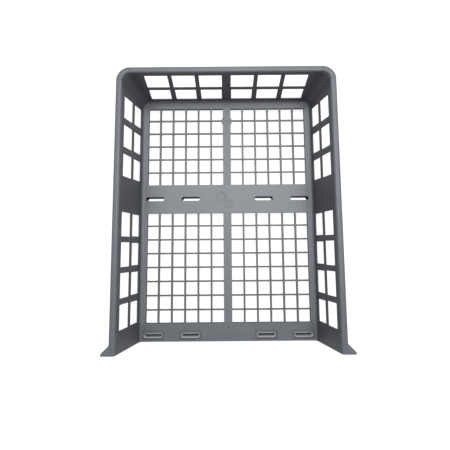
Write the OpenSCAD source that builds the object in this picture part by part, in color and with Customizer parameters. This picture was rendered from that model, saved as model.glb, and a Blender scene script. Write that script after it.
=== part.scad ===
// Open-ended roof cargo tray: a grid floor on three crossmembers, three flared
// walls with window openings, a rolled rim and two end flanges at the open end.
// Millimetres. +Z up, +Y towards the closed rear wall, open end at -Y.
// Origin: centre of the underside.

/* [Floor grid] */
// Distance between the long bars of the floor grid
cell_x = 50; // [46:0.5:56]
// Distance between the cross bars of the floor grid
cell_y = 52.5; // [50:0.5:56]
// Width of a long bar
long_bar_w = 7; // [5:0.5:9]
// Width of a cross bar
cross_bar_w = 7; // [4:0.5:8]
// Depth of the floor bars below the deck
bar_depth = 10; // [9:0.5:11]
// How far the cross bars lie below the long bars
cross_bar_drop = 1.5; // [0.5:0.5:2.5]
// Diameter of the round pad at each crossing of the bars
pad_d = 9; // [8:0.5:10]
// Length of the tenon at each end of a bar
tenon_l = 5; // [4:0.5:6]

/* [Floor frame] */
// Width of the spine along the middle of the floor
spine_w = 31; // [28:1:36]
// Width of the deck between the grid and a side wall
side_rail_w = 20; // [18:1:26]
// Width of the deck between the grid and the rear wall
rear_rail_w = 26.5; // [24:0.5:28]
// Width of the middle crossmember
mid_band_w = 111; // [100:1:130]
// Width of the crossmember at the open end
front_band_w = 66.5; // [62:0.5:80]
// Height of the deck above the underside
deck_z = 34; // [30:1:44]
// Depth of the floor frame's edges
frame_depth = 12; // [12:0.5:16]
// Thickness of the frame's top skin
skin_t = 4; // [3.5:0.5:4.5]
// Thickness of the ribs under the frame
rib_t = 3; // [2.5:0.5:4]
// Radius of the hollow between the deck and the walls
cove_r = 12; // [6:1:14]
// Diameter of the round boss on the rear spine
boss_d = 40; // [36:1:46]

/* [Walls] */
// Height of the rim's top above the deck
wall_h = 150; // [140:5:220]
// How far the walls lean out, in degrees
flare = 15; // [10:0.5:18]
// Thickness of the walls
wall_t = 5; // [4:0.5:6]
// Inside radius of the two rear corners
corner_r = 28; // [26:1:28]
// Width of an upper window in the front part of a side wall
front_side_window_w = 84.5; // [70:0.5:90]
// Width of an upper window in the rear part of a side wall
rear_side_window_w = 81.5; // [70:0.5:90]
// Width of an upper window in the rear wall
rear_window_w = 83; // [70:0.5:88]
// How much narrower a lower window is than the one above it
lower_window_step = 4; // [0:0.5:8]
// Distance between rear wall windows
rear_window_pitch = 98; // [96:1:98]
// Lower edge of the lower windows, measured up the wall
window_low = 18; // [17:1:24]
// Height of the lower windows in the side walls
side_lower_window_h = 48; // [40:0.5:58]
// Height of the lower windows in the rear wall
rear_lower_window_h = 50; // [40:0.5:58]
// Height of the bar between the two rows of windows
window_bar_h = 10; // [4:0.5:12]
// Height of the plain strip above the side walls' upper windows
side_top_strip_h = 15; // [3:0.5:20]
// Height of the plain strip above the rear wall's upper windows
rear_top_strip_h = 10.5; // [3:0.5:20]

/* [Rim] */
// Width of the rim
rim_w = 20.5; // [19:0.5:26]
// Radius of the rim's two top edges
rim_r = 8; // [6:0.5:8.5]
// Height of the rim's outer skirt
rim_skirt_h = 26; // [20:1:34]
// Thickness of the rim's skin
rim_t = 3; // [2.5:0.5:3.5]

/* [Slots] */
// Length of a middle slot, end to end
mid_slot_l = 70; // [50:1:72]
// Width of a middle slot
mid_slot_w = 14; // [11:0.5:16]
// Length of a front slot, end to end
front_slot_l = 60; // [50:1:62]
// Width of a front slot
front_slot_w = 9; // [8:0.5:11]
// Distance from the centre line to an outer slot
outer_slot_x = 280; // [276:1:282]
// Distance from the centre line to an inner slot
inner_slot_x = 141; // [120:1:150]
// Distance from the open end to the front slots
front_slot_inset = 23.5; // [22:0.5:26]
// Height of the raised lip round a front slot
slot_lip_h = 2.5; // [1:0.5:3]

/* [End flanges] */
// How far a flange stands out beyond the rim
flange_out = 24; // [16:1:30]
// Thickness of a flange plate
flange_t = 8; // [6:0.5:10]

/* [Hidden] */
$fn = 64;

// Counts of windows
cols = 6;
rear_rows = 6;
front_rows = 8;
rear_side_windows = 3;
front_side_windows = 4;
rear_windows_each_side = 3;

// Plan of the floor
panel_w = cols * cell_x - long_bar_w;
rear_panel_l = rear_rows * cell_y - long_bar_w;
front_panel_l = front_rows * cell_y - long_bar_w;
half_w = spine_w / 2 + panel_w + side_rail_w;
floor_l = front_band_w + front_panel_l + mid_band_w + rear_panel_l + rear_rail_w;
slope = tan(flare);
wall_run = wall_t / cos(flare);
overall_l = floor_l + wall_h * slope + rim_w;
front_y = -overall_l / 2;
rear_y = front_y + floor_l;
front_panel_y = front_y + front_band_w;
mid_band_y = front_panel_y + front_panel_l;
rear_panel_y = mid_band_y + mid_band_w;
rear_rail_y = rear_panel_y + rear_panel_l;
mid_y = mid_band_y + mid_band_w / 2;
panel_x = spine_w / 2;
corner_y = rear_y - corner_r;
corner_x = half_w - corner_r;
boss_y = rear_rail_y - cell_y + long_bar_w / 2;
frame_low = deck_z - frame_depth;

// Wall and rim heights above the deck
seat_h = wall_h - rim_r - 1;
wall_top_h = wall_h - skin_t;
tongue_t = 2.5;
tongue_h = 5;
tongue_inset = (wall_run - tongue_t) / 2;
wall_face_h = seat_h / cos(flare);
side_window_pitch = 2 * cell_y;
first_side_window = mid_band_w / 2 + cell_y - long_bar_w / 2;
first_rear_window = rear_window_pitch / 2 + 9;

// Sections of the bars
bar_foot_h = 1.5;
long_bar_crest = 6;
cross_bar_crest = 3;

// Ribs and slots
mid_rib_y = 26;
front_rib_inset = 8;
front_rib_span = 34;
sleeve_t = 4;
guide_t = 3;
guide_lip = 6;
recess_depth = 1.5;
recess_margin = 5;
mouth_depth = 2;
web_xs = [-207, -80, 0, 80, 207];
slot_xs = [-outer_slot_x, -inner_slot_x, inner_slot_x, outer_slot_x];
front_slot_y = front_y + front_slot_inset;
rear_foot_w = 10;
rear_foot_out = 4;
shoulder_gap = 2;
cut = 1;

plastic = [0.40, 0.42, 0.46];
plastic_dark = [0.30, 0.32, 0.36];
plastic_light = [0.50, 0.52, 0.56];

// Inner face of a wall, as a distance beyond its foot, at height h over the deck
function lean(h) = h * slope;

// Centre line of a long bar, and of a cross bar from its panel's front edge
function long_bar_x(i) = panel_x + i * cell_x - long_bar_w / 2;
function cross_bar_dy(k) = k * cell_y - long_bar_w / 2;

// Points along an arc, from one angle to another
function arc(centre, r, from, to, steps = 8) =
    [for (i = [0:steps]) let (a = from + (to - from) * i / steps) centre + r * [cos(a), sin(a)]];

// Draws its children's XZ outline between two Y values
module along_y(y0, y1) {
    translate([0, y1, 0]) rotate([90, 0, 0]) linear_extrude(height = y1 - y0) children();
}

// Draws its children's YZ outline between two X values
module along_x(x0, x1) {
    translate([x0, 0, 0]) rotate([90, 0, 90]) linear_extrude(height = x1 - x0) children();
}

// A block from its lowest to its highest corner
module block(low, high) {
    translate(low) cube(high - low);
}

// Draws its children on the right (side 1) or mirrored to the left (side -1)
module on_side(side) {
    mirror([side < 0 ? 1 : 0, 0, 0]) children();
}

// The sloping edge round a slot's mouth, down from the deck
module slot_mouth(l, w) {
    reach = (l - w) / 2;
    top_w = w + 2 * (mouth_depth + cut);
    translate([0, 0, deck_z - mouth_depth]) {
        along_x(-reach, reach)
            polygon([[-w / 2, 0], [w / 2, 0], [top_w / 2, mouth_depth + cut],
                     [-top_w / 2, mouth_depth + cut]]);
        for (x = [-reach, reach])
            translate([x, 0, 0]) cylinder(d1 = w, d2 = top_w, h = mouth_depth + cut);
    }
}

// A slot's shape: straight sides and round ends along X
module slot_shape(l, w, z0, z1) {
    reach = (l - w) / 2;
    translate([-reach, -w / 2, z0]) cube([2 * reach, w, z1 - z0]);
    for (x = [-reach, reach])
        translate([x, 0, z0]) cylinder(d = w, h = z1 - z0);
}

// ---- Floor grid ----

// Section of a bar with a flat foot and flanks that lean in to a narrower crest
module bar_outline(centre, foot, crest, top) {
    low = deck_z - bar_depth;
    polygon([
        [centre - foot / 2, low], [centre + foot / 2, low],
        [centre + foot / 2, low + bar_foot_h], [centre + crest / 2, top],
        [centre - crest / 2, top], [centre - foot / 2, low + bar_foot_h]
    ]);
}

// One right-hand panel of bars; y0 is its front edge
module grille(y0, rows) {
    for (i = [1:cols - 1])
        along_y(y0, y0 + rows * cell_y - long_bar_w)
            bar_outline(long_bar_x(i), long_bar_w, long_bar_crest, deck_z);
    for (k = [1:rows - 1])
        along_x(panel_x, panel_x + panel_w)
            bar_outline(y0 + cross_bar_dy(k), cross_bar_w, cross_bar_crest,
                        deck_z - cross_bar_drop);
    for (i = [1:cols - 1], k = [1:rows - 1])
        translate([long_bar_x(i), y0 + cross_bar_dy(k), deck_z - bar_depth])
            cylinder(d = pad_d, h = bar_depth);
    grille_tenons(y0, rows);
}

// The bars' lower ends, which sit in pockets of the frame
module grille_tenons(y0, rows) {
    length = rows * cell_y - long_bar_w;
    tenon_h = bar_depth - skin_t;
    for (i = [1:cols - 1])
        translate([long_bar_x(i) - long_bar_w / 2, y0 - tenon_l, deck_z - bar_depth])
            cube([long_bar_w, length + 2 * tenon_l, tenon_h]);
    for (k = [1:rows - 1])
        translate([panel_x - tenon_l, y0 + cross_bar_dy(k) - cross_bar_w / 2,
                   deck_z - bar_depth])
            cube([panel_w + 2 * tenon_l, cross_bar_w, tenon_h]);
}

module all_tenons() {
    for (side = [-1, 1])
        on_side(side) {
            grille_tenons(front_panel_y, front_rows);
            grille_tenons(rear_panel_y, rear_rows);
        }
}

module front_grille(side) {
    color(plastic) on_side(side) grille(front_panel_y, front_rows);
}

module rear_grille(side) {
    color(plastic)
        difference() {
            on_side(side) grille(rear_panel_y, rear_rows);
            boss(cut);
        }
}

// ---- Floor frame ----

// Round boss on the spine, with extra height above and below
module boss(extra = 0) {
    translate([0, boss_y, frame_low - extra]) cylinder(d = boss_d, h = frame_depth + 2 * extra);
}

// A skin with a skirt round its edge, open underneath
module pan(x0, x1, y0, y1) {
    difference() {
        block([x0, y0, frame_low], [x1, y1, deck_z]);
        block([x0 + rib_t + tenon_l, y0 + rib_t + tenon_l, frame_low - cut],
              [x1 - rib_t - tenon_l, y1 - rib_t - tenon_l, deck_z - skin_t]);
    }
}

// Prisms in which the lower edges of the three walls stand
module wall_grooves() {
    for (side = [-1, 1])
        on_side(side) along_y(front_y - cut, corner_y) tongue_outline(half_w);
    along_x(-corner_x, corner_x) tongue_outline(rear_y);
}

// The groove for a wall's tongue, as an outline at distance d from the centre
module tongue_outline(d) {
    translate([d + tongue_inset, deck_z - tongue_h]) square([tongue_t, tongue_h + cut]);
}

// Section of the hollow strip at the foot of a wall whose inner face meets the deck at d
module cove_outline(d) {
    centre = [d + lean(cove_r) - cove_r / cos(flare), deck_z + cove_r];
    polygon(concat([[d, deck_z - cut], [centre[0], deck_z - cut]],
                   arc(centre, cove_r, -90, -flare, 10),
                   [[d, deck_z]]));
}

module side_cove(y0, y1) {
    along_y(y0, y1) cove_outline(half_w);
}

module rail(side, y0, y1) {
    color(plastic)
        difference() {
            on_side(side) {
                block([half_w - side_rail_w, y0, frame_low], [half_w + wall_run, y1, deck_z]);
                side_cove(y0, y1);
            }
            all_tenons();
            wall_grooves();
        }
}

module spine(y0, y1) {
    difference() {
        union() {
            block([-spine_w / 2, y0, frame_low], [spine_w / 2, y1, deck_z]);
            if (y1 > boss_y) boss();
        }
        all_tenons();
    }
}

module front_spine() {
    color(plastic_light) spine(front_panel_y, mid_band_y);
}

module rear_spine() {
    color(plastic_light) spine(rear_panel_y, rear_rail_y);
}

// Two long ribs and their webs, down to the underside
module rib_ladder(y0, y1) {
    reach = half_w - rib_t;
    for (y = [y0, y1])
        block([-reach, y - rib_t / 2, 0], [reach, y + rib_t / 2, deck_z - cut]);
    for (x = web_xs)
        block([x - rib_t / 2, y0, 0], [x + rib_t / 2, y1, deck_z - cut]);
    for (s = [-1, 1])
        block([s * reach - rib_t, y0, 0], [s * reach + rib_t, y1, deck_z - cut]);
}

module crossmember_body(y0, y1) {
    pan(-half_w - wall_run, half_w + wall_run, y0, y1);
    for (side = [-1, 1]) on_side(side) side_cove(y0, y1);
}

module mid_crossmember() {
    color(plastic_light)
        difference() {
            union() {
                crossmember_body(mid_band_y, rear_panel_y);
                rib_ladder(mid_y - mid_rib_y, mid_y + mid_rib_y);
                for (x = slot_xs)
                    translate([x, mid_y, 0])
                        slot_shape(mid_slot_l + 2 * sleeve_t, mid_slot_w + 2 * sleeve_t,
                                   0, deck_z - cut);
            }
            for (x = slot_xs)
                translate([x, mid_y, 0]) {
                    slot_shape(mid_slot_l, mid_slot_w, -cut, deck_z + cut);
                    slot_mouth(mid_slot_l, mid_slot_w);
                }
            all_tenons();
            wall_grooves();
        }
}

// The space that a front slot guide fills
module guide_seat() {
    slot_shape(front_slot_l + 2 * guide_t, front_slot_w + 2 * guide_t, -cut, deck_z + cut);
}

module front_crossmember() {
    rib_y = front_y + front_rib_inset;
    color(plastic_light)
        difference() {
            union() {
                crossmember_body(front_y, front_panel_y);
                rib_ladder(rib_y, rib_y + front_rib_span);
                for (x = slot_xs)
                    translate([x, front_slot_y, 0])
                        slot_shape(front_slot_l + 2 * (guide_t + sleeve_t),
                                   front_slot_w + 2 * (guide_t + sleeve_t), 0, deck_z - cut);
            }
            for (x = slot_xs)
                translate([x, front_slot_y, 0]) {
                    guide_seat();
                    recess_x = front_slot_l / 2 + guide_lip + recess_margin;
                    recess_y = front_slot_w / 2 + guide_lip + recess_margin;
                    block([-recess_x, -recess_y, deck_z - recess_depth],
                          [recess_x, recess_y, deck_z + cut]);
                }
            all_tenons();
            wall_grooves();
        }
}

module rear_crossmember() {
    color(plastic_light)
        difference() {
            union() {
                block([-corner_x, rear_rail_y, frame_low], [corner_x, rear_y + wall_run, deck_z]);
                for (side = [-1, 1]) on_side(side) corner_deck();
                block([-corner_x, rear_y + rear_foot_out - rear_foot_w, 0],
                      [corner_x, rear_y + rear_foot_out, frame_low + cut]);
                along_x(-corner_x, corner_x) cove_outline(rear_y);
            }
            all_tenons();
            wall_grooves();
        }
}

// The deck in a rear corner, with its part of the hollow strip
module corner_deck() {
    difference() {
        intersection() {
            block([corner_x, corner_y, frame_low], [half_w + wall_run, rear_y + wall_run, deck_z]);
            translate([corner_x, corner_y, frame_low])
                cylinder(r = corner_r + wall_run, h = frame_depth);
        }
        block([0, 0, 0], [half_w - side_rail_w, rear_rail_y, deck_z + cut]);
    }
    translate([corner_x, corner_y, 0]) rotate_extrude(angle = 90) cove_outline(corner_r);
}

// ---- Slot guides ----

// Sleeve with a raised U-shaped lip that is open towards the rear
module slot_guide(x) {
    lip_l = front_slot_l + 2 * guide_lip;
    lip_w = front_slot_w + 2 * guide_lip;
    color(plastic_light)
        translate([x, front_slot_y, 0])
            difference() {
                union() {
                    slot_shape(front_slot_l + 2 * guide_t, front_slot_w + 2 * guide_t,
                               0, deck_z - recess_depth);
                    intersection() {
                        slot_shape(lip_l, lip_w, deck_z - recess_depth, deck_z + slot_lip_h);
                        block([-lip_l, -lip_w, 0], [lip_l, front_slot_w / 4, deck_z + slot_lip_h]);
                    }
                }
                slot_shape(front_slot_l, front_slot_w, -cut, deck_z + slot_lip_h + cut);
            }
}

// ---- Walls ----

// The solid inside the walls' faces in the rear right quarter, between two heights.
// r is the corner radius of the face: corner_r inside, corner_r + wall_run outside.
module wall_solid(r, h0, h1) {
    back = 60;
    hull()
        for (h = [h0, h1], step = [[0, 0], [back, 0], [0, back]])
            translate([corner_x + lean(h) - step[0], corner_y + lean(h) - step[1], deck_z + h])
                cylinder(r = r, h = 0.01);
}

// Upright section of a wall whose inner face meets the deck at distance d
module wall_outline(d) {
    polygon([
        [d, deck_z],
        [d + lean(seat_h), deck_z + seat_h],
        [d + lean(seat_h) + tongue_t, deck_z + seat_h],
        [d + lean(wall_top_h) + tongue_t, deck_z + wall_top_h],
        [d + lean(wall_top_h) + wall_run, deck_z + wall_top_h],
        [d + wall_run, deck_z],
        [d + tongue_inset + tongue_t, deck_z],
        [d + tongue_inset + tongue_t, deck_z - tongue_h],
        [d + tongue_inset, deck_z - tongue_h],
        [d + tongue_inset, deck_z]
    ]);
}

// Both windows of one column, in the leaning plane of a wall
module window_pair(centre, w, lower_h, strip_h) {
    lower_w = w - lower_window_step;
    upper_low = window_low + lower_h + window_bar_h;
    translate([-wall_t, centre - lower_w / 2, window_low])
        cube([3 * wall_t, lower_w, lower_h]);
    translate([-wall_t, centre - w / 2, upper_low])
        cube([3 * wall_t, w, wall_face_h - strip_h - upper_low]);
}

module side_wall(side) {
    color(plastic_dark)
        on_side(side)
            difference() {
                along_y(front_y, corner_y) wall_outline(half_w);
                translate([half_w, mid_y, deck_z])
                    rotate([0, flare, 0]) {
                        for (i = [0:rear_side_windows - 1])
                            window_pair(first_side_window + i * side_window_pitch,
                                        rear_side_window_w, side_lower_window_h,
                                        side_top_strip_h);
                        for (i = [0:front_side_windows - 1])
                            window_pair(-first_side_window - i * side_window_pitch,
                                        front_side_window_w, side_lower_window_h,
                                        side_top_strip_h);
                    }
            }
}

module rear_wall() {
    color(plastic_dark)
        difference() {
            along_x(-corner_x, corner_x) wall_outline(rear_y);
            translate([0, rear_y, deck_z])
                rotate([0, 0, 90])
                    rotate([0, flare, 0])
                        for (i = [0:rear_windows_each_side - 1], s = [-1, 1])
                            window_pair(s * (first_rear_window + i * rear_window_pitch),
                                        rear_window_w, rear_lower_window_h,
                                        rear_top_strip_h);
        }
}

// Curved corner panel with the flat strips beside it
module corner(side) {
    color(plastic_dark)
        on_side(side)
            difference() {
                intersection() {
                    wall_solid(corner_r + wall_run, 0, wall_top_h);
                    block([corner_x, corner_y, deck_z],
                          [half_w + wall_h, rear_y + wall_h, deck_z + wall_top_h]);
                }
                wall_solid(corner_r, -cut, wall_top_h + cut);
                translate([corner_x + lean(wall_h), corner_y + lean(wall_h), deck_z])
                    rotate_extrude()
                        polygon([
                            [0, seat_h],
                            [corner_r + lean(seat_h - wall_h) + tongue_t, seat_h],
                            [corner_r + lean(wall_top_h - wall_h) + tongue_t, wall_top_h],
                            [corner_r + lean(wall_top_h - wall_h) + tongue_t, wall_top_h + cut],
                            [0, wall_top_h + cut]
                        ]);
            }
}

// ---- Rim ----

// Section of the rim; x is measured from the centre of the corner bend
module rim_outline() {
    inner = corner_r + rim_r / cos(flare) - lean(rim_r);
    outer = corner_r + rim_w;
    top = deck_z + wall_h;
    polygon(concat(
        [[corner_r + lean(seat_h - wall_h), deck_z + seat_h]],
        arc([inner, top - rim_r], rim_r, 180 - flare, 90),
        arc([outer - rim_r, top - rim_r], rim_r, 90, 0),
        [
            [outer, top - rim_skirt_h],
            [outer - rim_t, top - rim_skirt_h],
            [outer - rim_t, top - skin_t],
            [corner_r + lean(wall_top_h - wall_h) + tongue_t, top - skin_t],
            [corner_r + lean(seat_h - wall_h) + tongue_t, deck_z + seat_h]
        ]
    ));
}

module side_rim(side) {
    color(plastic_light)
        on_side(side)
            translate([corner_x + lean(wall_h), 0, 0])
                along_y(front_y, corner_y + lean(wall_h)) rim_outline();
}

module rear_rim() {
    reach = corner_x + lean(wall_h);
    color(plastic_light)
        translate([0, corner_y + lean(wall_h), 0]) along_x(-reach, reach) rim_outline();
}

module rim_bend(side) {
    color(plastic_light)
        on_side(side)
            translate([corner_x + lean(wall_h), corner_y + lean(wall_h), 0])
                rotate_extrude(angle = 90) rim_outline();
}

// ---- End flanges ----

// Plate outside the wall's end, and the gusset that fills up to the rim's rounded shoulder
module end_flange(side) {
    top = deck_z + wall_h;
    rim_x = half_w + lean(wall_h) + rim_w;
    edge_x = rim_x + flange_out;
    low_edge_x = edge_x - lean(top - frame_low);
    gusset_h = rim_skirt_h - rim_t;
    shoulder_x = rim_x - rim_r + shoulder_gap;
    color(plastic)
        on_side(side)
            difference() {
                union() {
                    along_y(front_y, front_y + flange_t)
                        polygon([
                            [half_w + wall_run, frame_low],
                            [half_w + wall_run, deck_z],
                            [half_w + wall_run + lean(wall_top_h), deck_z + wall_top_h],
                            [shoulder_x, deck_z + wall_top_h],
                            [shoulder_x, top],
                            [edge_x, top],
                            [low_edge_x, frame_low]
                        ]);
                    translate([0, 0, top - gusset_h])
                        linear_extrude(height = gusset_h)
                            polygon([
                                [shoulder_x, front_y + flange_t],
                                [edge_x, front_y + flange_t],
                                [rim_x, front_y + flange_t + flange_out],
                                [shoulder_x, front_y + flange_t + flange_out]
                            ]);
                }
                translate([corner_x + lean(wall_h), 0, 0])
                    along_y(front_y - cut, front_y + flange_t + flange_out + cut) rim_outline();
            }
}

front_crossmember();
mid_crossmember();
rear_crossmember();
rail(-1, front_panel_y, mid_band_y);  // left_front_rail
rail(-1, rear_panel_y, corner_y);  // left_rear_rail
rail(1, front_panel_y, mid_band_y);  // right_front_rail
rail(1, rear_panel_y, corner_y);  // right_rear_rail
front_spine();
rear_spine();
front_grille(-1);  // left_front_grille
rear_grille(-1);  // left_rear_grille
front_grille(1);  // right_front_grille
rear_grille(1);  // right_rear_grille
slot_guide(-outer_slot_x);  // left_outer_slot_guide
slot_guide(-inner_slot_x);  // left_inner_slot_guide
slot_guide(inner_slot_x);  // right_inner_slot_guide
slot_guide(outer_slot_x);  // right_outer_slot_guide
side_wall(-1);  // left_wall
side_wall(1);  // right_wall
rear_wall();
corner(-1);  // left_corner
corner(1);  // right_corner
side_rim(-1);  // left_rim
side_rim(1);  // right_rim
rear_rim();
rim_bend(-1);  // left_rim_bend
rim_bend(1);  // right_rim_bend
end_flange(-1);  // left_end_flange
end_flange(1);  // right_end_flange
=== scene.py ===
"""Roof cargo tray of moulded polypropylene, on a white floor under soft overhead light.

Metres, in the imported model's frame: +Z up, +Y towards the closed rear wall.
"""

import math

import bmesh
import bpy
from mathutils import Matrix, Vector


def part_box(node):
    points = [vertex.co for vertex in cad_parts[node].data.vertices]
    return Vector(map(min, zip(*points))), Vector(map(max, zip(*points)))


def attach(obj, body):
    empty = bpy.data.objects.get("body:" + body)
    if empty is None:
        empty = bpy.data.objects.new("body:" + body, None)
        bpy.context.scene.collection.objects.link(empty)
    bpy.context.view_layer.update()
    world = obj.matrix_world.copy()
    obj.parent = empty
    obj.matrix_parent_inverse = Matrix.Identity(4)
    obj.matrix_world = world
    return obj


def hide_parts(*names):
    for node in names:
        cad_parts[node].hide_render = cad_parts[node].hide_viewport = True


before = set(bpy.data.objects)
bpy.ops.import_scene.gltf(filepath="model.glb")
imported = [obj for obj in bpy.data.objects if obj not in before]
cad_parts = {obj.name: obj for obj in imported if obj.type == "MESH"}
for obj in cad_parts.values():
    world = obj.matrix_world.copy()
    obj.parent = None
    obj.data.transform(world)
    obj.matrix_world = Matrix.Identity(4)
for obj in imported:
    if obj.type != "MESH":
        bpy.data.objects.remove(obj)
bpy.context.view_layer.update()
scene = bpy.context.scene
MM = 0.001

# Floor grilles: the pitch of the cells, and the drafted bars
CELL_X = 50.0 * MM
CELL_Y = 52.5 * MM
LONG_BARS = 5
LONG_BAR = 7.0 * MM
LONG_CREST = 6.4 * MM
CROSS_BAR = 7.0 * MM
CROSS_CREST = 3.4 * MM
CROSS_DROP = 1.5 * MM
BAR_EDGE = 0.8 * MM
TENON = 5.0 * MM
PAD_R = 4.5 * MM
PAD_RISE = 0.05 * MM
# The drawn bars stop just short of their boxes, clear of the faces they meet
BAR_CLEARANCE = 0.15 * MM

# Rounding that the mould leaves on edges, and the turn from which an edge counts as one
DECK_EDGE = 0.9 * MM
WALL_EDGE = 0.8 * MM
EDGE_TURN = math.radians(40)

# Front slots: the guide's sleeve and raised lip, in a recess of the deck
SLOT_W = 9.0 * MM
GUIDE_WALL = 3.0 * MM
GUIDE_STEPS = 72
LIP = 6.0 * MM
RECESS = 1.5 * MM
# The lip ends where its outward direction has this much +Y, and is whole this much before
LIP_END = 0.55
LIP_FADE = 0.5

# Trimmed injection gate: radius and height of its section in mm, from pit to outer foot
GATE_SECTION = [(0.0, -0.6), (1.2, -0.5), (1.9, 0.15), (2.5, 0.35), (3.1, 0.25), (3.6, -0.3)]
GATE_STEPS = 28
FRONT_GATE_INSET = 15 * MM

# Sizes of the surface patterns
CLOUD_SIZE = 125 * MM
SINK_SIZE = 42 * MM
SINK_DEPTH = 0.6 * MM
SCUFF_SIZE = Vector((4.0, 150.0, 25.0)) * MM
# Filler specks are under 1 mm and the grain is 0.4 mm: both are drawn as coarse as they show
FILLER_SIZE = 5 * MM
GRAIN_SIZE = 2 * MM
GRAIN_DEPTH = 0.25 * MM
# How far the painted shade in corners looks for sheltering faces
CORNER_SHADE_REACH = 110 * MM
BLUSH_REACH = 12 * MM

RUBBED = "#9aa0a8"
# The dark of the painted shade in corners, and of the gate blushes
SHADE_AND_MARK_DARK = "#252528"
WHITE = "#ffffff"
SKY = "#f4f7ff"
# The floor's grey where it throws light back, and where the tray's shadow shows on it
FLOOR_BOUNCE = "#585858"
FLOOR_SHADE = "#8c8c8c"
FLOOR_HALF = 6.0
# Reflections off the floor are plain within this distance
SHADED_REACH = 60 * MM

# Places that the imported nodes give
deck_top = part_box("front_spine")[1].z
mid_y = sum(corner.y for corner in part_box("mid_crossmember")) / 2
boss_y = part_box("rear_spine")[1].y - CELL_Y + LONG_BAR / 2
front_grid_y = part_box("front_crossmember")[1].y


# ---- Materials ----


def linear(code):
    """The linear RGBA of an sRGB hex colour."""
    parts = [int(code[i : i + 2], 16) / 255 for i in (1, 3, 5)]
    return (*[p / 12.92 if p <= 0.04045 else ((p + 0.055) / 1.055) ** 2.4 for p in parts], 1.0)


def add_node(tree, kind, sockets=None, **settings):
    """Adds a node with its settings. Each socket takes a value, or another node's output."""
    made = tree.nodes.new(kind)
    for name, value in settings.items():
        setattr(made, name, value)
    for socket, value in (sockets or {}).items():
        if isinstance(value, bpy.types.NodeSocket):
            tree.links.new(value, made.inputs[socket])
        else:
            made.inputs[socket].default_value = value
    return made


def filled_colour(tree, cloudy, mottle, shade, pale):
    """Blue-grey that pales in flow clouds and at specks of the mineral filler."""
    clouded = add_node(
        tree,
        "ShaderNodeMix",
        {"Factor": cloudy, "A": linear(shade), "B": linear(pale)},
        data_type="RGBA",
    )
    specks = add_node(
        tree,
        "ShaderNodeMapRange",
        {"Value": mottle, "From Min": 0.35, "From Max": 0.8, "To Max": 0.3},
    )
    return add_node(
        tree,
        "ShaderNodeMix",
        {
            "Factor": specks.outputs["Result"],
            "A": clouded.outputs["Result"],
            "B": linear(pale),
        },
        data_type="RGBA",
    ).outputs["Result"]


def rubbed_edges(tree, colour, mottle):
    """Convex edges, rubbed paler in patches."""
    pointiness = add_node(tree, "ShaderNodeNewGeometry").outputs["Pointiness"]
    convex = add_node(
        tree,
        "ShaderNodeMapRange",
        {"Value": pointiness, "From Min": 0.52, "From Max": 0.6, "To Max": 0.5},
    )
    rubbed = add_node(
        tree, "ShaderNodeMath", {0: convex.outputs["Result"], 1: mottle}, operation="MULTIPLY"
    )
    return add_node(
        tree,
        "ShaderNodeMix",
        {"Factor": rubbed.outputs["Value"], "A": colour, "B": linear(RUBBED)},
        data_type="RGBA",
    ).outputs["Result"]


def painted_corner_shade(tree, colour, roughness, corner_shade):
    """Painted shade: the colour darkens where walls, deck and bars meet and shelter each other,
    and the face turns rougher there.
    """
    shelter = add_node(
        tree, "ShaderNodeAmbientOcclusion", {"Distance": CORNER_SHADE_REACH}, samples=8
    )
    shade_amount = add_node(
        tree,
        "ShaderNodeMapRange",
        {
            "Value": shelter.outputs["AO"],
            "From Min": 0.4,
            "From Max": 0.95,
            "To Min": corner_shade,
            "To Max": 0.0,
        },
    ).outputs["Result"]
    shaded_colour = add_node(
        tree,
        "ShaderNodeMix",
        {"Factor": shade_amount, "A": colour, "B": linear(SHADE_AND_MARK_DARK)},
        data_type="RGBA",
    )
    dull = add_node(
        tree, "ShaderNodeMapRange", {"Value": shade_amount, "To Min": roughness, "To Max": 0.75}
    )
    return shaded_colour.outputs["Result"], dull.outputs["Result"]


def cargo_scuffs(tree, colour, place, strength):
    """Fine pale scuffs along the deck, from cargo slid in at the open end."""
    stretched = add_node(
        tree, "ShaderNodeMapping", {"Vector": place, "Scale": [1 / size for size in SCUFF_SIZE]}
    )
    streaks = add_node(
        tree,
        "ShaderNodeTexNoise",
        {"Vector": stretched.outputs["Vector"], "Scale": 1.0, "Detail": 3.0},
    )
    scratched = add_node(
        tree,
        "ShaderNodeMapRange",
        {"Value": streaks.outputs["Fac"], "From Min": 0.6, "From Max": 0.75, "To Max": strength},
    )
    return add_node(
        tree,
        "ShaderNodeMix",
        {"Factor": scratched.outputs["Result"], "A": colour, "B": linear(RUBBED)},
        data_type="RGBA",
    ).outputs["Result"]


def gate_blush(tree, colour, place, cloudy, centre, radius):
    """A dull, patchy ring round an injection point, where the melt came in hottest."""
    reach = add_node(tree, "ShaderNodeVectorMath", {0: place, 1: centre}, operation="DISTANCE")
    beside = add_node(
        tree, "ShaderNodeMath", {0: reach.outputs["Value"], 1: radius}, operation="SUBTRACT"
    )
    off_ring = add_node(
        tree, "ShaderNodeMath", {0: beside.outputs["Value"]}, operation="ABSOLUTE"
    )
    ring = add_node(
        tree,
        "ShaderNodeMapRange",
        {
            "Value": off_ring.outputs["Value"],
            "From Max": BLUSH_REACH,
            "To Min": 1.3,
            "To Max": 0.0,
        },
        interpolation_type="SMOOTHSTEP",
    )
    patchy = add_node(
        tree, "ShaderNodeMath", {0: ring.outputs["Result"], 1: cloudy}, operation="MULTIPLY"
    )
    return add_node(
        tree,
        "ShaderNodeMix",
        {"Factor": patchy.outputs["Value"], "A": colour, "B": linear(SHADE_AND_MARK_DARK)},
        data_type="RGBA",
    ).outputs["Result"]


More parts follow.
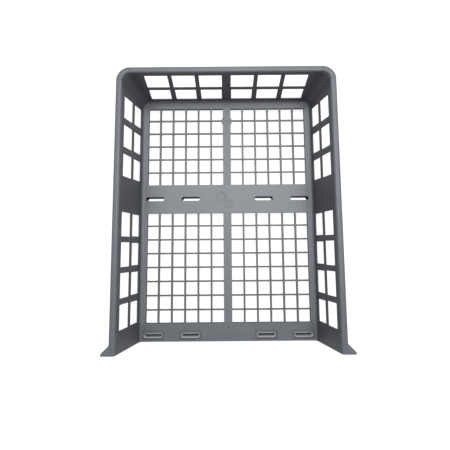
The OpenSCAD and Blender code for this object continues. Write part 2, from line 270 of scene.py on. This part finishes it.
def moulded_relief(tree, place, grain):
    """Spark-eroded grain over slow sink waves."""
    pits = add_node(
        tree, "ShaderNodeTexNoise", {"Vector": place, "Scale": 1 / GRAIN_SIZE, "Detail": 3.0}
    )
    sink = add_node(
        tree, "ShaderNodeTexNoise", {"Vector": place, "Scale": 1 / SINK_SIZE, "Detail": 1.0}
    )
    waves = add_node(
        tree,
        "ShaderNodeBump",
        {"Height": sink.outputs["Fac"], "Strength": 0.5, "Distance": SINK_DEPTH},
    )
    return add_node(
        tree,
        "ShaderNodeBump",
        {
            "Height": pits.outputs["Fac"],
            "Strength": 0.35 * grain,
            "Distance": GRAIN_DEPTH,
            "Normal": waves.outputs["Normal"],
        },
    ).outputs["Normal"]


def moulded_polypropylene(name, shade, pale, grain=1.0, scuffs=0.0, corner_shade=0.9, blushes=()):
    """Filled polypropylene from a spark-eroded steel mould: an even, satin blue-grey with a
    fine grain, faint flow clouds and sink waves, pale rubbed edges and painted shade in its
    corners. Cargo leaves scuffs on the deck, and an injection gate leaves a blush round it."""
    material = bpy.data.materials.new(name)
    material.use_nodes = True
    tree = material.node_tree
    shader = tree.nodes["Principled BSDF"]
    place = add_node(tree, "ShaderNodeTexCoord").outputs["Object"]
    mottle = add_node(
        tree, "ShaderNodeTexNoise", {"Vector": place, "Scale": 1 / FILLER_SIZE, "Detail": 2.0}
    ).outputs["Fac"]

    # The melt cooled unevenly: the face is a little paler and rougher in slow clouds
    clouds = add_node(
        tree, "ShaderNodeTexNoise", {"Vector": place, "Scale": 1 / CLOUD_SIZE, "Detail": 4.0}
    ).outputs["Fac"]
    cloudy = add_node(
        tree,
        "ShaderNodeMapRange",
        {"Value": clouds, "From Min": 0.3, "From Max": 0.7, "To Max": 0.35},
    ).outputs["Result"]
    roughness = add_node(
        tree, "ShaderNodeMapRange", {"Value": clouds, "To Min": 0.47, "To Max": 0.55}
    ).outputs["Result"]

    colour = filled_colour(tree, cloudy, mottle, shade, pale)
    colour = rubbed_edges(tree, colour, mottle)
    # Painted shade: darker where the tray's faces shelter each other
    colour, roughness = painted_corner_shade(tree, colour, roughness, corner_shade)
    if scuffs:
        colour = cargo_scuffs(tree, colour, place, scuffs)
    for centre, radius in blushes:
        colour = gate_blush(tree, colour, place, cloudy, centre, radius)
    tree.links.new(colour, shader.inputs["Base Color"])
    tree.links.new(roughness, shader.inputs["Roughness"])
    tree.links.new(moulded_relief(tree, place, grain), shader.inputs["Normal"])
    shader.inputs["IOR"].default_value = 1.49
    shader.inputs["Specular IOR Level"].default_value = 0.5
    return material


band_blushes = [
    (Vector((-23 * MM, mid_y + 8 * MM, deck_top)), 16 * MM),
    (Vector((6 * MM, mid_y - 19 * MM, deck_top)), 13 * MM),
]
# Painted light: the mid band is paler as highlight; the rear deck, bars and walls are darker as
# shade
deck_finish = moulded_polypropylene(
    "polypropylene_moulded_deck", "#6b6e73", "#797c82", scuffs=0.08
)
# The mid band, painted paler as the light's highlight; its scuffs and gate blushes are real
# marks
band_painted_light_finish = moulded_polypropylene(
    "polypropylene_moulded_band_painted_light", "#787b80", "#868990", scuffs=0.12, blushes=band_blushes
)
# The rear deck, painted darker as the rear wall's shade
rear_shaded_finish = moulded_polypropylene("polypropylene_moulded_rear_deck_painted_shade", "#616369", "#6e7076")
# The grille bars, painted darker as shade
grille_shaded_finish = moulded_polypropylene("polypropylene_moulded_grille_painted_shade", "#494b4f", "#56585d")
# The walls, painted darker as shade
wall_shaded_finish = moulded_polypropylene("polypropylene_moulded_wall_painted_shade", "#56575e", "#616269")
rim_finish = moulded_polypropylene("polypropylene_moulded_rim", "#64676d", "#73767c", grain=0.7)
# The guide lips, painted far paler than the moulding as a highlight; their grain is finer
guide_highlight_finish = moulded_polypropylene(
    "polypropylene_guide_painted_highlight", "#abaeb3", "#b8bbc0", grain=0.4, corner_shade=0.6
)


# ---- Pieces ----


def show(piece, slot, *nodes):
    """Puts a finished piece on the tray's one body, in place of its CAD nodes."""
    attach(piece, "root")
    if nodes:
        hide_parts(*nodes)


def new_piece(name, mesh, material, sharp_angle=35):
    """A piece from a mesh that is already in place. Edges steeper than the angle stay crisp."""
    mesh.materials.clear()
    mesh.materials.append(material)
    for face in mesh.polygons:
        face.use_smooth = True
    mesh.set_sharp_from_angle(angle=math.radians(sharp_angle))
    piece = bpy.data.objects.new(name, mesh)
    scene.collection.objects.link(piece)
    return piece


def rounded_copy(node, edge, material):
    """A CAD node with its triangles merged into faces and the mould's rounding on its edges."""
    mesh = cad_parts[node].data.copy()
    work = bmesh.new()
    work.from_mesh(mesh)
    bmesh.ops.remove_doubles(work, verts=work.verts, dist=0.002 * MM)
    bmesh.ops.join_triangles(
        work,
        faces=work.faces,
        angle_face_threshold=math.radians(0.4),
        angle_shape_threshold=math.radians(180),
    )
    for face in work.faces:
        face.smooth = True
    work.to_mesh(mesh)
    work.free()
    mesh.materials.clear()
    mesh.materials.append(material)
    piece = bpy.data.objects.new(node + "_moulded", mesh)
    scene.collection.objects.link(piece)
    rounding = piece.modifiers.new("Edge rounding", "BEVEL")
    rounding.width = edge
    rounding.segments = 2
    rounding.limit_method = "ANGLE"
    rounding.angle_limit = EDGE_TURN
    rounding.miter_outer = "MITER_ARC"
    shading = piece.modifiers.new("Face shading", "WEIGHTED_NORMAL")
    shading.keep_sharp = True
    return piece


def closed_mesh(name, work):
    """The mesh of a finished bmesh, with its faces turned outwards."""
    bmesh.ops.recalc_face_normals(work, faces=work.faces)
    mesh = bpy.data.meshes.new(name)
    work.to_mesh(mesh)
    work.free()
    return mesh


GRILLE_INPUTS = {
    "Long Bars": "NodeSocketInt",
    "Long Bar First": "NodeSocketVector",
    "Long Bar Step": "NodeSocketVector",
    "Long Bar Half": "NodeSocketVector",
    "Long Bar Foot": "NodeSocketFloat",
    "Long Bar Crest": "NodeSocketFloat",
    "Long Bar Depth": "NodeSocketFloat",
    "Cross Bars": "NodeSocketInt",
    "Cross Bar First": "NodeSocketVector",
    "Cross Bar Step": "NodeSocketVector",
    "Cross Bar Half": "NodeSocketVector",
    "Cross Bar Foot": "NodeSocketFloat",
    "Cross Bar Crest": "NodeSocketFloat",
    "Cross Bar Depth": "NodeSocketFloat",
    "Edge Radius": "NodeSocketFloat",
    "Pad Radius": "NodeSocketFloat",
    "Pad Depth": "NodeSocketFloat",
    "Pad Grid Middle": "NodeSocketVector",
    "Pad Grid Width": "NodeSocketFloat",
    "Pad Grid Length": "NodeSocketFloat",
    "Material": "NodeSocketMaterial",
}


def bar_row(tree, given, bar):
    """A row of equal bars, each a filleted trapezoid that narrows to its crest."""
    section = add_node(
        tree,
        "GeometryNodeCurvePrimitiveQuadrilateral",
        {
            "Height": given[bar + " Depth"],
            "Bottom Width": given[bar + " Foot"],
            "Top Width": given[bar + " Crest"],
            "Offset": 0.0,
        },
        mode="TRAPEZOID",
    )
    filleted = add_node(
        tree,
        "GeometryNodeFilletCurve",
        {
            "Curve": section.outputs[0],
            "Radius": given["Edge Radius"],
            "Limit Radius": True,
            "Count": 3,
        },
        mode="POLY",
    )
    back = add_node(
        tree, "ShaderNodeVectorMath", {0: given[bar + " Half"], "Scale": -1.0}, operation="SCALE"
    )
    line = add_node(
        tree,
        "GeometryNodeCurvePrimitiveLine",
        {"Start": back.outputs[0], "End": given[bar + " Half"]},
    )
    upright = add_node(
        tree, "GeometryNodeSetCurveNormal", {"Curve": line.outputs[0]}, mode="Z_UP"
    )
    swept = add_node(
        tree,
        "GeometryNodeCurveToMesh",
        {"Curve": upright.outputs[0], "Profile Curve": filleted.outputs[0], "Fill Caps": True},
    )
    places = add_node(
        tree,
        "GeometryNodeMeshLine",
        {
            "Count": given[bar + "s"],
            "Start Location": given[bar + " First"],
            "Offset": given[bar + " Step"],
        },
        mode="OFFSET",
    )
    return add_node(
        tree,
        "GeometryNodeInstanceOnPoints",
        {"Points": places.outputs[0], "Instance": swept.outputs[0]},
    ).outputs[0]


def crossing_pads(tree, given):
    """A round pad where each long bar meets a cross bar."""
    pad = add_node(
        tree,
        "GeometryNodeMeshCylinder",
        {"Vertices": 20, "Radius": given["Pad Radius"], "Depth": given["Pad Depth"]},
    )
    crossings = add_node(
        tree,
        "GeometryNodeMeshGrid",
        {
            "Size X": given["Pad Grid Width"],
            "Size Y": given["Pad Grid Length"],
            "Vertices X": given["Long Bars"],
            "Vertices Y": given["Cross Bars"],
        },
    )
    placed = add_node(
        tree,
        "GeometryNodeTransform",
        {"Geometry": crossings.outputs["Mesh"], "Translation": given["Pad Grid Middle"]},
    )
    return add_node(
        tree,
        "GeometryNodeInstanceOnPoints",
        {"Points": placed.outputs[0], "Instance": pad.outputs["Mesh"]},
    ).outputs[0]


def grille_tree():
    """Geometry Nodes for one floor panel: drafted long bars, lower cross bars and round pads."""
    tree = bpy.data.node_groups.new("floor_grille", "GeometryNodeTree")
    for name, kind in GRILLE_INPUTS.items():
        tree.interface.new_socket(name, in_out="INPUT", socket_type=kind)
    tree.interface.new_socket("Geometry", in_out="OUTPUT", socket_type="NodeSocketGeometry")
    given = add_node(tree, "NodeGroupInput").outputs
    joined = add_node(tree, "GeometryNodeJoinGeometry")
    tree.links.new(bar_row(tree, given, "Long Bar"), joined.inputs[0])
    tree.links.new(bar_row(tree, given, "Cross Bar"), joined.inputs[0])
    tree.links.new(crossing_pads(tree, given), joined.inputs[0])
    real = add_node(tree, "GeometryNodeRealizeInstances", {"Geometry": joined.outputs[0]})
    finished = add_node(
        tree,
        "GeometryNodeSetMaterial",
        {"Geometry": real.outputs[0], "Material": given["Material"]},
    )
    add_node(tree, "NodeGroupOutput", {"Geometry": finished.outputs[0]})
    return tree


def grille_sizes(node):
    """Sizes of one floor panel. Each bar runs a tenon's length into the frame at both ends."""
    low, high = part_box(node)
    inner = (low + high) / 2
    top = high.z - BAR_CLEARANCE
    long_depth = top - low.z
    cross_depth = long_depth - CROSS_DROP
    rows = round((high.y - low.y - 2 * TENON) / CELL_Y) - 1
    # Bars are counted from the spine on the right and from the wall on the left
    first_x = low.x + TENON + CELL_X - LONG_BAR / 2
    if inner.x < 0:
        first_x = high.x - TENON - LONG_BARS * CELL_X + LONG_BAR / 2
    first_y = low.y + TENON + CELL_Y - LONG_BAR / 2
    width = (LONG_BARS - 1) * CELL_X
    length = (rows - 1) * CELL_Y
    pad_z = top - long_depth / 2 + PAD_RISE
    return {
        "Long Bars": LONG_BARS,
        "Long Bar First": (first_x, inner.y, top - long_depth / 2),
        "Long Bar Step": (CELL_X, 0.0, 0.0),
        "Long Bar Half": (0.0, (high.y - low.y) / 2, 0.0),
        "Long Bar Foot": LONG_BAR,
        "Long Bar Crest": LONG_CREST,
        "Long Bar Depth": long_depth,
        "Cross Bars": rows,
        "Cross Bar First": (inner.x, first_y, top - CROSS_DROP - cross_depth / 2),
        "Cross Bar Step": (0.0, CELL_Y, 0.0),
        "Cross Bar Half": ((high.x - low.x) / 2, 0.0, 0.0),
        "Cross Bar Foot": CROSS_BAR,
        "Cross Bar Crest": CROSS_CREST,
        "Cross Bar Depth": cross_depth,
        "Edge Radius": BAR_EDGE,
        "Pad Radius": PAD_R,
        "Pad Depth": long_depth,
        "Pad Grid Middle": (first_x + width / 2, first_y + length / 2, pad_z),
        "Pad Grid Width": width,
        "Pad Grid Length": length,
        "Material": grille_shaded_finish,
    }


def grown_mesh(name, tree, values):
    """The plain mesh that a Geometry Nodes tree makes from its named inputs."""
    holder = bpy.data.objects.new(name, bpy.data.meshes.new(name))
    scene.collection.objects.link(holder)
    grower = holder.modifiers.new("Growth", "NODES")
    grower.node_group = tree
    for socket in tree.interface.items_tree:
        if socket.in_out == "INPUT":
            grower[socket.identifier] = values[socket.name]
    graph = bpy.context.evaluated_depsgraph_get()
    mesh = bpy.data.meshes.new_from_object(holder.evaluated_get(graph))
    bpy.data.objects.remove(holder)
    return mesh


def floor_grilles():
    """The four grid panels of the floor, two on each side of the spine."""
    tree = grille_tree()
    for side in ("left", "right"):
        for end in ("front", "rear"):
            node = f"{side}_{end}_grille"
            mesh = grown_mesh(node + "_bars", tree, grille_sizes(node))
            show(new_piece(node + "_bars", mesh, grille_shaded_finish), "grille_plastic", node)


def ring_around_slot(straight):
    """Points of a slot's centre line with their outward directions, once round."""
    ring = []
    for i in range(GUIDE_STEPS):
        angle = 2 * math.pi * i / GUIDE_STEPS
        outward = Vector((math.cos(angle), math.sin(angle), 0))
        ring.append((Vector((math.copysign(straight, outward.x), 0, 0)), outward))
    return ring


def guide_sections(foot, top):
    """A guide's section where it has a lip, and where it ends flush in the recess. Each runs
    from the bore's foot over the mouth to the sleeve's foot, as reach from the bore and
    height. The two match point for point."""
    floor = deck_top - RECESS
    lipped = [
        (0.0, foot), (0.0, deck_top - 3.0 * MM), (3.0 * MM, top - 0.9 * MM),
        (4.0 * MM, top - 0.2 * MM), (4.8 * MM, top), (5.5 * MM, top - 0.4 * MM),
        (LIP, top - 1.2 * MM), (LIP, floor - 0.6 * MM),
        (GUIDE_WALL, floor - 0.8 * MM), (GUIDE_WALL, foot),
    ]
    flush = [
        (0.0, foot), (0.0, floor - 1.2 * MM), (0.6 * MM, floor - 0.3 * MM),
        (1.0 * MM, floor - 0.1 * MM), (1.6 * MM, floor), (2.2 * MM, floor),
        (2.8 * MM, floor - 0.2 * MM), (GUIDE_WALL, floor - 0.6 * MM),
        (GUIDE_WALL, floor - 0.9 * MM), (GUIDE_WALL, foot),
    ]
    return lipped, flush


def slot_guide(node):
    """A sleeve whose funnelled, rounded lip rises round the front and ends of its slot."""
    low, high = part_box(node)
    middle = (low + high) / 2
    middle.y = high.y - GUIDE_WALL - SLOT_W / 2
    straight = (high.x - low.x) / 2 - LIP - SLOT_W / 2
    lipped, flush = guide_sections(low.z, high.z)
    work = bmesh.new()
    rows = []
    for base, outward in ring_around_slot(straight):
        rise = min(max((LIP_END - outward.y) / LIP_FADE, 0.0), 1.0)
        rise = rise * rise * (3 - 2 * rise)
        row = []
        for (lip_reach, lip_z), (flush_reach, flush_z) in zip(lipped, flush):
            reach = SLOT_W / 2 + flush_reach + (lip_reach - flush_reach) * rise
            point = middle + base + outward * reach
            row.append(work.verts.new((point.x, point.y, flush_z + (lip_z - flush_z) * rise)))
        rows.append(row)
    for row, ahead in zip(rows, rows[1:] + rows[:1]):
        for j in range(len(row)):
            k = (j + 1) % len(row)
            work.faces.new((row[j], row[k], ahead[k], ahead[j]))
    mesh = closed_mesh(node + "_lipped", work)
    piece = new_piece(node + "_lipped", mesh, guide_highlight_finish, sharp_angle=50)
    show(piece, "guide_plastic", node)


def gate_mark(name, y):
    """The stub of a trimmed injection gate: a low ring round a pit, in the grille bars' darker
    finish.
    """
    work = bmesh.new()
    pit_height = GATE_SECTION[0][1]
    hub = work.verts.new((0.0, y, deck_top + pit_height * MM))
    rings = []
    for radius, height in GATE_SECTION[1:]:
        ring = []
        for i in range(GATE_STEPS):
            angle = 2 * math.pi * i / GATE_STEPS
            across = radius * MM * math.cos(angle)
            along = radius * MM * math.sin(angle)
            ring.append(work.verts.new((across, y + along, deck_top + height * MM)))
        rings.append(ring)
    for i in range(GATE_STEPS):
        k = (i + 1) % GATE_STEPS
        work.faces.new((hub, rings[0][i], rings[0][k]))
        for inner, outer in zip(rings, rings[1:]):
            work.faces.new((inner[i], outer[i], outer[k], inner[k]))
    work.faces.new(rings[-1])
    piece = new_piece(name, closed_mesh(name, work), grille_shaded_finish, sharp_angle=60)
    show(piece, "deck_plastic")


# Each family's slot, edge rounding, finish and nodes
families = [
    ("deck_plastic", DECK_EDGE, deck_finish, (
        "front_crossmember", "left_front_rail", "left_rear_rail", "right_front_rail",
        "right_rear_rail", "front_spine", "rear_spine",
    )),
    ("deck_plastic", DECK_EDGE, band_painted_light_finish, ("mid_crossmember",)),
    ("deck_plastic", DECK_EDGE, rear_shaded_finish, ("rear_crossmember",)),
    ("wall_plastic", WALL_EDGE, wall_shaded_finish, (
        "left_wall", "right_wall", "rear_wall", "left_corner", "right_corner",
    )),
    ("rim_plastic", WALL_EDGE, rim_finish, (
        "left_rim", "right_rim", "rear_rim", "left_rim_bend", "right_rim_bend",
        "left_end_flange", "right_end_flange",
    )),
]
for slot, edge, finish, nodes in families:
    for node in nodes:
        show(rounded_copy(node, edge, finish), slot, node)
floor_grilles()
for place in ("left_outer", "left_inner", "right_inner", "right_outer"):
    slot_guide(place + "_slot_guide")
gate_mark("rear_gate_mark", boss_y)
gate_mark("front_gate_mark", front_grid_y - FRONT_GATE_INSET)


# ---- Floor, light and camera ----


def white_floor():
    """White paper that reads white to the camera and still takes the tray's shadow."""
    mesh = bpy.data.meshes.new("floor")
    corners = [(-1, -1), (1, -1), (1, 1), (-1, 1)]
    mesh.from_pydata(
        [(x * FLOOR_HALF, y * FLOOR_HALF, 0) for x, y in corners], [], [(0, 1, 2, 3)]
    )
    floor = bpy.data.objects.new("floor", mesh)
    scene.collection.objects.link(floor)
    paper = bpy.data.materials.new("white_paper_backdrop")
    paper.use_nodes = True
    tree = paper.node_tree
    tree.nodes.clear()
    path = add_node(tree, "ShaderNodeLightPath")
    # A reflection shows the white paper too, but not close to it, where the tray shades it
    distant = add_node(
        tree,
        "ShaderNodeMath",
        {0: path.outputs["Ray Length"], 1: SHADED_REACH},
        operation="GREATER_THAN",
    )
    mirrored = add_node(
        tree,
        "ShaderNodeMath",
        {0: path.outputs["Is Glossy Ray"], 1: distant.outputs["Value"]},
        operation="MULTIPLY",
    )
    seen = add_node(
        tree,
        "ShaderNodeMath",
        {0: path.outputs["Is Camera Ray"], 1: mirrored.outputs["Value"]},
        operation="MAXIMUM",
    )
    seen = add_node(
        tree,
        "ShaderNodeMath",
        {0: seen.outputs["Value"], 1: path.outputs["Is Transmission Ray"]},
        operation="MAXIMUM",
    )
    plain = add_node(tree, "ShaderNodeBsdfDiffuse", {"Color": linear(FLOOR_BOUNCE)})
    shaded = add_node(tree, "ShaderNodeBsdfDiffuse", {"Color": linear(FLOOR_SHADE)})
    glow = add_node(tree, "ShaderNodeEmission", {"Color": linear(WHITE), "Strength": 0.90})
    white = add_node(
        tree, "ShaderNodeAddShader", {0: shaded.outputs["BSDF"], 1: glow.outputs["Emission"]}
    )
    mixed = add_node(
        tree,
        "ShaderNodeMixShader",
        {0: seen.outputs["Value"], 1: plain.outputs["BSDF"], 2: white.outputs["Shader"]},
    )
    add_node(tree, "ShaderNodeOutputMaterial", {"Surface": mixed.outputs["Shader"]})
    mesh.materials.append(paper)


def soft_world():
    """A dim, even sky that shows as white where the camera sees it."""
    world = bpy.data.worlds.new("studio")
    scene.world = world
    world.use_nodes = True
    tree = world.node_tree
    tree.nodes.clear()
    path = add_node(tree, "ShaderNodeLightPath")
    sky = add_node(tree, "ShaderNodeBackground", {"Color": linear(SKY), "Strength": 0.10})
    backdrop = add_node(tree, "ShaderNodeBackground", {"Color": linear(WHITE), "Strength": 1.0})
    mixed = add_node(
        tree,
        "ShaderNodeMixShader",
        {
            0: path.outputs["Is Camera Ray"],
            1: sky.outputs["Background"],
            2: backdrop.outputs["Background"],
        },
    )
    add_node(tree, "ShaderNodeOutputWorld", {"Surface": mixed.outputs["Shader"]})


def softbox(name, place, aim, size, power):
    """A square softbox at a place, turned towards a point."""
    light = bpy.data.lights.new(name, "AREA")
    light.size = size
    light.energy = power
    lamp = bpy.data.objects.new(name, light)
    lamp.location = place
    lamp.rotation_euler = (Vector(aim) - Vector(place)).to_track_quat("-Z", "Y").to_euler()
    scene.collection.objects.link(lamp)


def overhead_camera(place, turn):
    """A wide camera that looks down into the tray, with a small shift to frame it."""
    data = bpy.data.cameras.new("camera")
    data.lens = 24
    data.sensor_width = 36
    data.shift_x = -0.0067
    data.shift_y = -0.0147
    data.clip_start = 0.05
    camera = bpy.data.objects.new("camera", data)
    camera.location = place
    camera.rotation_euler = [math.radians(angle) for angle in turn]
    scene.collection.objects.link(camera)
    bpy.context.scene.camera = camera


white_floor()
soft_world()
softbox("overhead_softbox", place=(0.18, 0.60, 2.1), aim=(0.0, 0.05, 0.0), size=1.7, power=56)
overhead_camera(place=(0.0016, -0.1436, 1.1866), turn=(5.41, 0.01, -0.47))
scene.view_settings.view_transform = "Standard"
